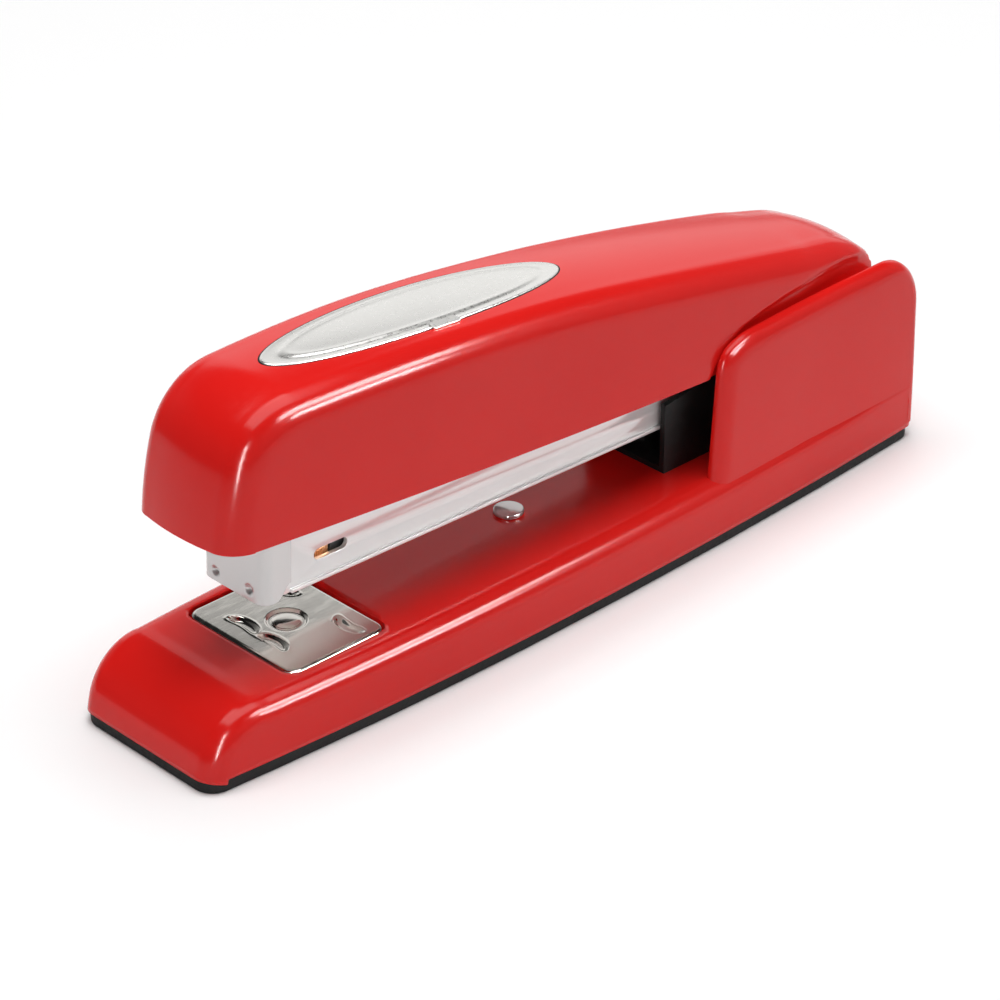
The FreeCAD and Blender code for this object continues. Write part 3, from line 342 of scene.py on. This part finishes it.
def sheet_object(name, rows, material, body, thick, replaces, round_edge, opening=None):
    """A sheet of even wall; opening(x, y, z) tells which faces stay out."""
    verts = [p for row in rows for p in row]
    faces = grid_faces(len(rows), len(rows[0]))
    if opening:
        faces = [f for f in faces
                 if not opening(*[sum(verts[v][k] for v in f) / len(f) for k in range(3)])]
    obj = make_object(name, verts, faces, material, body, replaces)
    clean(obj, 2e-6)
    solid = obj.modifiers.new("wall", "SOLIDIFY")
    solid.thickness = thick * MM
    solid.offset = -1
    if round_edge:
        edge_round(obj, round_edge, 3, 50)
    return obj


def arc_fall(run, radius):
    """How far a large arc has fallen away at a distance from its crown."""
    return radius - math.sqrt(radius * radius - run * run)


# cover: nose, brow, long back, waist and tail
COVER_CROWN = 0.75
COVER_SHOULDER_WIDE = 5.4
COVER = follow((-89.4, 43.9), 85.6, [
    ("arc", 72, 12.2), ("arc", 16.8, 73.1), ("arc", 500, 9.7), ("arc", 1117, 3.2),
    ("arc", 31.2, 36.4), ("arc", 20, 41), ("line", 3.2)])
EAR_LINE = [(31.5, 24), (32.7, 31), (34.2, 36.2), (36.0, 38.6), (39.2, 41.5), (44, 44.2), (50, 45.6),
            (57.6, 46.6), (69, 47.2), (78, 46.7), (85, 45.2), (91, 43.0), (99, 37.5)]


def ear_side(x, z):
    """How far a point is outside the line that the cover's step follows; negative inside."""
    best = 1e9
    for (ax, az), (bx, bz) in zip(EAR_LINE, EAR_LINE[1:]):
        dx, dz = bx - ax, bz - az
        t = ((x - ax) * dx + (z - az) * dz) / (dx * dx + dz * dz)
        t = min(max(t, 0), 1)
        px, pz = ax + dx * t, az + dz * t
        away = math.hypot(x - px, z - pz)
        if away < abs(best):
            cross = dx * (z - pz) - dz * (x - px)
            best = away if cross > 0 else -away
    return best


def cover_side(x, z):
    run = x - 13.7
    wide = 17.08 - arc_fall(run, 1645.0 if run < 0 else 1000.0)
    draft = mix(0.014, 0.058, smooth(-45, 5, x))
    wide -= draft * max(z - 38.0, 0)
    if x > 26:
        away = ear_side(x, z)
        wide -= 0.85 * (1 - smooth(-0.5, 0.9, away))
        wide -= 0.65 * (1 - smooth(12.0, 26.0, math.hypot(x - HINGE[0], z - HINGE[1])))
    return wide


def cover_edge(x):
    if x < 60:
        return 43.9 + (35.35 - 43.9) * (x + 89.4) / 149.4
    return mix(35.35, 26.0, min((x - 60) / 29.6, 1))


def cover_shoulder(x):
    """A soft rounding that ends in a narrower one round the rear end."""
    share = smooth(74, 94, x)
    return round_shoulder(mix(6.2, 5.0, share), mix(COVER_SHOULDER_WIDE, 4.6, share))


OVAL = (-30.4, 37.3, 8.7)          # the oval plate: middle along X, half length, half width
SEAT_DEPTH = 0.45
FLAT = 9
cover_rows = form(COVER, cover_side, cover_edge, cover_shoulder, COVER_CROWN, FLAT, 34)
# a shallow seat under the oval plate
for row in cover_rows:
    for i, (x, y, z) in enumerate(row[:FLAT + 1]):
        reach = math.hypot((x - OVAL[0]) / OVAL[1], y / OVAL[2])
        row[i] = (x, y, z - SEAT_DEPTH * (1 - smooth(0.78, 0.94, reach)))


def doorway(x, y, z):
    """The rear wall is open low down, clear of the hinge bracket."""
    return x > 88.0 and abs(y) < 12.3 and z < 44.5


cover_obj = sheet_object("cover_shell_enamel", both_sides(cover_rows), RED, "cover", 1.2,
                         ("cover_shell",), 0.4, doorway)
bake(cover_obj)


def rounded_box(name, low, high, corner, segments=6):
    """A box with its upright edges rounded."""
    bm = bmesh.new()
    bmesh.ops.create_cube(bm, size=1)
    for v in bm.verts:
        for k in range(3):
            v.co[k] = (low[k] if v.co[k] < 0 else high[k]) * MM
    if corner:
        edges = [e for e in bm.edges if abs(e.verts[0].co.z - e.verts[1].co.z) > 1e-9]
        bmesh.ops.bevel(bm, geom=edges, offset=corner * MM, segments=segments, profile=0.5,
                        affect="EDGES")
    mesh = bpy.data.meshes.new(name)
    bm.to_mesh(mesh)
    bm.free()
    obj = bpy.data.objects.new(name, mesh)
    bpy.context.scene.collection.objects.link(obj)
    return obj


def drill(obj, tool):
    """Cut a tool out of an object and drop the tool."""
    modifier = obj.modifiers.new("cut", "BOOLEAN")
    modifier.operation = "DIFFERENCE"
    modifier.solver = "EXACT"
    modifier.object = tool
    bake(obj)
    bpy.data.objects.remove(tool)


# base
BASE = follow((-99.3, DECK_FLOOR), 76.5, [("line", 2.47), ("arc", 13, 75.5)])
BASE += follow((BASE[-1][0], 15.0), 0, [("line", 94.9 - BASE[-1][0]), ("arc", 4.0, 90),
                                        ("line", 8.2)], 1.6)[1:]


def base_side(x, z):
    run = x + 22.0
    return 22.13 - arc_fall(run, 920.0 if run < 0 else 1517.0)


def base_shoulder(x):
    """The rounding is smaller round the rear end."""
    share = smooth(70, 94, x)
    return round_shoulder(mix(4.4, 3.0, share), mix(4.6, 3.2, share))


base_rows = form(BASE, base_side, lambda x: DECK_FLOOR, base_shoulder, 0.0, 8, 8)
base_obj = sheet_object("base_enamel", both_sides(base_rows), RED, "base", 1.5,
                        ("base_casting",), 0)
bake(base_obj)
# the recess that the anvil plate lies in
drill(base_obj, rounded_box("recess_tool", (ANVIL_X - 12.65, -15.6, 13.55),
                            (ANVIL_X + 12.65, 15.6, 30), 3.2))


EAR_FOOT = 3.2
EAR_WALL = 2.75


def ear_outline():
    """The ear's side view, from the foot of its front edge over the top to its rear edge."""
    points = follow((32.4, 3.3), 85.1, [
        ("line", 35.0), ("arc", 5.6, 62), ("arc", 16, 22), ("arc", 962, 2.5), ("arc", 12.1, 87.5),
        ("line", 29.2)], 0.7)
    return [p for p in points if p[1] > EAR_FOOT]


EAR = ear_outline()


def ear_out(x, z):
    """The ear's outer face: in from the base's side in front, running into it behind."""
    inset = mix(0.9, 0.06, smooth(60, 96, x))
    return base_side(x, z) - inset - 0.015 * max(z - 15, 0)


def ear_half(sign):
    """Rows over one ear: up its inner face, over the rounded rim, down its outer face."""
    rows = []
    for x, z, nx, nz in EAR:
        row = []
        inner = ear_out(x, z) - EAR_WALL
        depth = mix(4.4, 2.4, smooth(80, 97, x))
        qx, qz = x - nx * depth, z - nz * depth
        bottom_x = min(max(qx, 38.0), 94.4)
        for i in range(7):
            row.append((mix(bottom_x, x, i / 6), inner, mix(EAR_FOOT, z, i / 6)))
        row.append((x, inner + 0.3, z))
        for i in range(1, 13):
            a = math.pi / 2 * i / 12
            drop = depth * (1 - math.cos(a))
            px, pz = x - nx * drop, z - nz * drop
            row.append((px, mix(inner + 0.3, ear_out(px, pz), math.sin(a)), pz))
        for i in range(1, 17):
            px, pz = mix(qx, bottom_x, i / 16), mix(qz, min(EAR_FOOT, qz), i / 16)
            row.append((px, ear_out(px, pz), pz))
        rows.append([(p[0], p[1] * sign, p[2]) for p in row])
    return rows


for label, sign in (("near", -1), ("far", 1)):
    rows = ear_half(sign)
    verts = [p for row in rows for p in row]
    ear = make_object("ear_" + label, verts, grid_faces(len(rows), len(rows[0])), RED, "base")
    clean(ear, 2e-6)


# ---------------------------------------------------------------- oval plate


def top_height(x):
    """Height of the cover's top on its centre line."""
    best = None
    for (ax, az, _, _), (bx, bz, _, _) in zip(COVER, COVER[1:]):
        if ax <= x <= bx and az > 50:
            t = (x - ax) / (bx - ax) if bx > ax else 0
            best = mix(az, bz, t)
    return best if best is not None else 60.0


def cover_top(x, y):
    """Height of the cover's crowned top."""
    flat = cover_side(x, 65) - COVER_SHOULDER_WIDE
    return top_height(x) - COVER_CROWN * min(abs(y) / flat, 1.0) ** 2


# rings of the plate, as (share of the half width, height over the cover)
rings = [(0.0, 0.16), (0.15, 0.16), (0.3, 0.16), (0.45, 0.16), (0.58, 0.16), (0.64, 0.17),
         (0.67, 0.20), (0.70, 0.25), (0.73, 0.27), (0.76, 0.22), (0.79, 0.12), (0.815, 0.07),
         (0.84, 0.08), (0.88, 0.10), (0.92, 0.16), (0.95, 0.24), (0.97, 0.24), (0.985, 0.14),
         (0.995, -0.1), (1.0, -0.7)]
oval_verts, spokes = [], 160
for share, lift in rings:
    for k in range(spokes):
        a = 2 * math.pi * k / spokes
        half = OVAL[1] - OVAL[2] * (1 - share) * mix(2.4, 1.0, smooth(0.86, 1.0, share))
        px = OVAL[0] + math.cos(a) * half
        py = math.sin(a) * OVAL[2] * share
        oval_verts.append((px, py, cover_top(px, py) + lift - 0.05))
oval = make_object("oval_plate_satin", oval_verts, grid_faces(len(rings), spokes, True), SATIN,
                   "cover", ("oval_plate",))
clean(oval, 2e-6)

# a dark joint round the plate
seat_verts = []
for grow, lift in ((-0.6, 0.03), (0.22, 0.03), (0.34, -0.3)):
    for k in range(spokes):
        a = 2 * math.pi * k / spokes
        px = OVAL[0] + math.cos(a) * (OVAL[1] + grow)
        py = math.sin(a) * (OVAL[2] + grow)
        seat_verts.append((px, py, cover_top(px, py) + lift))
make_object("oval_joint", seat_verts, grid_faces(3, spokes, True), BLACK, "cover")

# the clip tab on the plate's near edge
tab = rounded_box("oval_clip", (OVAL[0] - 3.4, -9.5, 0), (OVAL[0] + 3.4, -7.4, 0.5), 0.5, 3)
for v in tab.data.vertices:
    v.co.z += cover_top(v.co.x / MM, v.co.y / MM) * MM
tab.data.materials.append(SATIN)
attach(tab, "cover")
edge_round(tab, 0.15)

# ---------------------------------------------------------------- magazine

# the channel wears the lighter plating, which is painted light
from_cad("magazine_channel", "channel_plated", CHANNEL_PAINTED_LIGHT, "magazine", 0.18)
from_cad("inner_rail", "rail_plated", PLATED, "rail", 0.15)
from_cad("hinge_bracket", "bracket_black", BLACK, "base", 0.3)
from_cad("cover_arm", "arm_black", BLACK, "cover", 0.25)
from_cad("pusher", "pusher_moulded", PLASTIC, "pusher", 0.2)
from_cad("driver_blade", "blade_steel", STEEL, "cover", 0.06)
from_cad("anvil_button", "button_moulded", PLASTIC, "anvil", 0.4)
from_cad("anvil_spring_rivet", "stud_plated", PLATED, "base", 0.3, 3)
from_cad("base_pad", "sole_moulded", RUBBER, "base", 0.35, 3)

# nose plate, pressed from thin sheet with a dimple either side of the front
NOSE_FRONT, NOSE_REAR, NOSE_HALF, NOSE_LOW, NOSE_HIGH = -160.3, -153.6, 8.9, -10.5, 3.2
NOSE_CORNER = 2.4


def nose_path():
    """The plate's outline in plan, from its near rear edge round the front to the far one."""
    half, bend = NOSE_HALF, NOSE_CORNER
    path = []
    for i in range(9):
        path.append((mix(NOSE_REAR, NOSE_FRONT + bend, i / 8), -half))
    for i in range(1, 10):
        a = math.pi / 2 * i / 9
        path.append((NOSE_FRONT + bend - bend * math.sin(a), -half + bend - bend * math.cos(a)))
    for i in range(1, 36):
        path.append((NOSE_FRONT, mix(-half + bend, half - bend, i / 36)))
    return path + [(p[0], -p[1]) for p in reversed(path[:18])]


nose_rows = []
path = nose_path()
for j in range(41):
    row = []
    for px, py in path:
        back = (px - (NOSE_FRONT + NOSE_CORNER)) / (NOSE_REAR - NOSE_FRONT - NOSE_CORNER)
        low = mix(NOSE_LOW, -7.4, smooth(0.2, 1.0, back)) if back > 0 else NOSE_LOW
        pz = mix(low, NOSE_HIGH, j / 40)
        dent = 0.0
        for dy in (-4.7, 4.7):
            r = math.hypot(py - dy, pz + 8.3)
            dent = max(dent, 0.8 * (1 - smooth(0.45, 1.05, r)))
        inx = dent if px < NOSE_FRONT + 0.2 else 0.0
        row.append(mag(px + inx, py, pz))
    nose_rows.append(row)
nose = make_object("nose_plate_pressed", [p for r in nose_rows for p in r],
                   grid_faces(len(nose_rows), len(path)), PLATED, "magazine", ("nose_plate",))
clean(nose, 1e-7)
solid = nose.modifiers.new("wall", "SOLIDIFY")
solid.thickness = 0.55 * MM
solid.offset = -1
edge_round(nose, 0.14, 2, 50)

# a thin black strip behind the nose plate, on both sides: painted shadow along the plate's rear edge
shadow_strip = []
for side in (-1, 1):
    for dx in (0.06, 0.34):
        for z in (2.6, -7.3):
            shadow_strip.append(mag(NOSE_REAR + dx, side * 8.33, z))
make_object("nose_painted_shadow", shadow_strip, [(0, 1, 3, 2), (4, 6, 7, 5)], BLACK, "magazine")


def staple_mesh():
    """Single staples, side by side: a flat crown and two legs."""
    verts, faces = [], []
    half, top, leg, wire = 6.42, -2.42, 6.3, 0.48
    x = -158.6
    while x < -142.5:
        outline = [(-half, top - leg), (-half, top - 0.5), (-half + 0.5, top), (half - 0.5, top),
                   (half, top - 0.5), (half, top - leg), (half - wire, top - leg),
                   (half - wire, top - 0.6), (half - 0.6, top - wire), (-half + 0.6, top - wire),
                   (-half + wire, top - 0.6), (-half + wire, top - leg)]
        start = len(verts)
        for dx in (0.0, 0.05, 0.47, 0.52):
            squeeze = 0.04 if dx in (0.0, 0.52) else 0.0
            for k, (py, pz) in enumerate(outline):
                shift = squeeze if k < 6 else -squeeze
                py2 = py + (shift if py < 0 else -shift)
                verts.append(mag(x + dx, py2, pz - shift))
        count = len(outline)
        for layer in range(3):
            for k in range(count):
                n = (k + 1) % count
                a = start + layer * count
                faces.append((a + k, a + n, a + count + n, a + count + k))
        for a in (start, start + 3 * count):
            for k in range(5):
                faces.append((a + k, a + k + 1, a + 10 - k, a + 11 - k))
        x += 0.56
    return verts, faces


verts, faces = staple_mesh()
staples = make_object("staples_copper", verts, faces, COPPER, "magazine", ("staple_strip",),
                      False)
clean(staples, 1e-8)


ROD_Z = -5.7                       # height of the pusher rod, which the coils go round


def coil(name, start, end, radius, wire, turns, body, replaces):
    """A coil spring as a swept wire."""
    rows = []
    steps = turns * 20
    for i in range(steps + 1):
        a = 2 * math.pi * i / 20
        x = mix(start, end, i / steps)
        cy, cz = math.cos(a), math.sin(a)
        for k in range(8):
            b = 2 * math.pi * k / 8
            r = radius + wire * math.cos(b)
            rows.append(mag(x + wire * math.sin(b), r * cy, ROD_Z + r * cz))
    make_object(name, rows, grid_faces(steps + 1, 8, True), SPRING, body, replaces)


coil("pusher_coil", -133.0, -22.2, 1.5, 0.32, 60, "magazine", ("pusher_spring",))
coil("rail_coil", -12.3, -6.6, 1.9, 0.32, 5, "magazine", ("rail_spring",))

# ---------------------------------------------------------------- anvil plate


def anvil_mesh():
    """The plate as a fine grid, with four staple grooves and a ring pressed into it."""
    half_x, half_y, corner = 12.2, 15.15, 2.8
    nx, ny = 120, 150
    top = 15.0
    verts = []
    for i in range(nx + 1):
        for j in range(ny + 1):
            u, v = -half_x + 2 * half_x * i / nx, -half_y + 2 * half_y * j / ny
            ex, ey = max(abs(u) - (half_x - corner), 0), max(abs(v) - (half_y - corner), 0)
            out = math.hypot(ex, ey)
            if out > 0 and ex > 0 and ey > 0:
                big = max(ex, ey)
                pull = big / out
                u = math.copysign(half_x - corner + ex * pull, u)
                v = math.copysign(half_y - corner + ey * pull, v)
                out = big
            else:
                out = max(ex, ey)
            edge = corner - out
            z = top - 0.35 * (1 - smooth(0.0, 0.9, edge)) ** 2
            r = math.hypot(u, v)
            z -= 0.45 * smooth(2.4, 2.9, r) * (1 - smooth(3.6, 4.1, r))
            for offset, inner, outer, bend in ((-7.3, -0.15, 8.4, 1.0), (7.6, 5.4, 13.4, -1.0)):
                mid, span = (inner + outer) / 2, (outer - inner) / 2
                lean = (abs(v) - mid) / span
                bow = offset + bend * (1 - lean * lean)
                q = math.hypot(lean ** 2, (u - bow) / 1.35)
                z -= 0.75 * (1 - smooth(0.35, 1.0, q))
                z += 0.07 * smooth(0.92, 1.06, q) * (1 - smooth(1.06, 1.3, q))
            verts.append((ANVIL_X + u, v, z))
    return verts, grid_faces(nx + 1, ny + 1)


verts, faces = anvil_mesh()
anvil = make_object("anvil_pressed", verts, faces, ANVIL, "anvil", ("anvil_plate",))
solid = anvil.modifiers.new("wall", "SOLIDIFY")
solid.thickness = 0.9 * MM
solid.offset = -1

# the post's turned outline, as (radius, height)
head_verts, head_rows = [], [(0.0, 15.24), (1.0, 15.22), (1.8, 15.16), (2.4, 15.04), (2.75, 14.86),
                             (2.8, 14.7), (2.3, 14.5), (2.2, 13.8), (2.15, 8.6), (4.4, 8.5),
                             (4.5, 8.2), (4.5, 7.8), (4.3, 7.62), (2.15, 7.6), (2.1, 6.2), (0, 6.2)]
for radius, z in head_rows:
    for k in range(48):
        a = 2 * math.pi * k / 48
        head_verts.append((ANVIL_X + radius * math.cos(a), radius * math.sin(a), z))
post = make_object("anvil_post_turned", head_verts, grid_faces(len(head_rows), 48, True), ANVIL,
                   "anvil", ("anvil_post",))
clean(post, 1e-7)
post.modifiers.new("creases", "EDGE_SPLIT").split_angle = math.radians(40)

# ---------------------------------------------------------------- CAD pieces that keep their shape

KEEP = {
    "hinge_pin": STEEL, "pin_clips": PLATED, "bracket_rivets": STEEL, "lift_spring_rivet": STEEL,
    "leaf_spring_rivet": STEEL, "driver_rivets": STEEL, "cover_posts": STEEL,
    "anvil_leaf_spring": SPRING, "magazine_lift_spring": SPRING, "cover_leaf_spring": SPRING,
    "pusher_rod": PLATED, "rod_block": PLASTIC, "channel_end_block": PLASTIC,
}
for node, material in KEEP.items():
    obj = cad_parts[node]
    for material_slot in obj.material_slots:
        material_slot.material = material

# ---------------------------------------------------------------- stage, light, camera


def floor():
    """A wide, plain, nearly white floor."""
    n = Nodes("floor_white")
    n.link(n.colour(n.noise(3, 2), (0.93, 0.93, 0.93), (0.95, 0.95, 0.95)),
           n.shader.inputs["Base Color"])
    n.set(Roughness=0.85, Specular_IOR_Level=0.2)
    mesh = bpy.data.meshes.new("floor")
    s = 6.0
    mesh.from_pydata([(-s, -s, 0), (s, -s, 0), (s, s, 0), (-s, s, 0)], [], [(0, 1, 2, 3)])
    mesh.materials.append(n.mat)
    obj = bpy.data.objects.new("floor", mesh)
    bpy.context.scene.collection.objects.link(obj)


floor()


def area(name, place, target, size, size_y, power):
    """A rectangular light; places and sizes in metres, power in watts."""
    data = bpy.data.lights.new(name, "AREA")
    data.shape = "RECTANGLE"
    data.size, data.size_y = size, size_y
    data.energy = power
    obj = bpy.data.objects.new(name, data)
    obj.location = place
    obj.rotation_euler = (Vector(target) - Vector(place)).to_track_quat("-Z", "Y").to_euler()
    bpy.context.scene.collection.objects.link(obj)
    return obj


def gleam(name, place, target, size, size_y, power):
    """A light that is only seen as a highlight."""
    obj = area(name, place, target, size, size_y, power)
    obj.visible_camera = False
    obj.visible_diffuse = False
    return obj


area("overhead", (0.0, 0.0, 1.5), (0, 0, 0), 1.7, 1.35, 30.5)
gleam("shoulder_strip", (0.175, -0.385, 0.225), (-0.06, -0.02, 0.04), 0.17, 0.05, 1.7)
gleam("back_panel", (1.20, 1.25, 0.62), (0, 0, 0.06), 2.2, 0.9, 4.4)
gleam("corner_strip", (-0.292, -0.217, 0.12), (-0.085, -0.013, 0.05), 0.03, 0.22, 1.1)
gleam("ear_strip", (0.16, -0.34, 0.34), (0.06, -0.018, 0.055), 0.34, 0.09, 3.6)

# a pale room that is dark high up, and dark to the left
world = bpy.data.worlds.new("studio")
bpy.context.scene.world = world
world.use_nodes = True
tree = world.node_tree
background = tree.nodes["Background"]
coords = tree.nodes.new("ShaderNodeTexCoord")
split = tree.nodes.new("ShaderNodeSeparateXYZ")
tree.links.new(coords.outputs["Generated"], split.inputs["Vector"])
shade = tree.nodes.new("ShaderNodeValToRGB")
shade.color_ramp.elements[0].position = 0.0
shade.color_ramp.elements[0].color = (1.0, 1.0, 1.0, 1)
shade.color_ramp.elements[1].position = 0.60
shade.color_ramp.elements[1].color = (0.06, 0.06, 0.06, 1)
middle = shade.color_ramp.elements.new(0.44)
middle.color = (1.0, 1.0, 1.0, 1)
tree.links.new(split.outputs["Z"], shade.inputs["Fac"])
tree.links.new(shade.outputs["Color"], background.inputs["Color"])
side_fall = tree.nodes.new("ShaderNodeMapRange")
side_fall.inputs["From Min"].default_value = -0.50
side_fall.inputs["From Max"].default_value = -0.10
side_fall.inputs["To Min"].default_value = 0.10
side_fall.inputs["To Max"].default_value = 0.35
tree.links.new(split.outputs["X"], side_fall.inputs["Value"])
tree.links.new(side_fall.outputs["Result"], background.inputs["Strength"])

scene_view = bpy.context.scene.view_settings
scene_view.view_transform = "Standard"
scene_view.look = "None"

# the camera, where a fit to the stapler's outline puts it
YAW, PITCH, ROLL = math.radians(44.189), math.radians(29.966), math.radians(0.289)
forward = Vector((math.sin(YAW) * math.cos(PITCH), math.cos(YAW) * math.cos(PITCH),
                  -math.sin(PITCH)))
right = Vector((math.cos(YAW), -math.sin(YAW), 0))
up = right.cross(forward)
right2 = math.cos(ROLL) * right + math.sin(ROLL) * up
up2 = -math.sin(ROLL) * right + math.cos(ROLL) * up
camera_data = bpy.data.cameras.new("camera")
camera_data.lens = 132.79
camera_data.sensor_width = 36.0
camera_data.clip_start = 0.01
camera = bpy.data.objects.new("camera", camera_data)
rotation = Matrix((right2, up2, -forward)).transposed().to_4x4()
camera.matrix_world = Matrix.Translation((-0.44637, -0.45124, 0.38160)) @ rotation
bpy.context.scene.collection.objects.link(camera)
bpy.context.scene.camera = camera
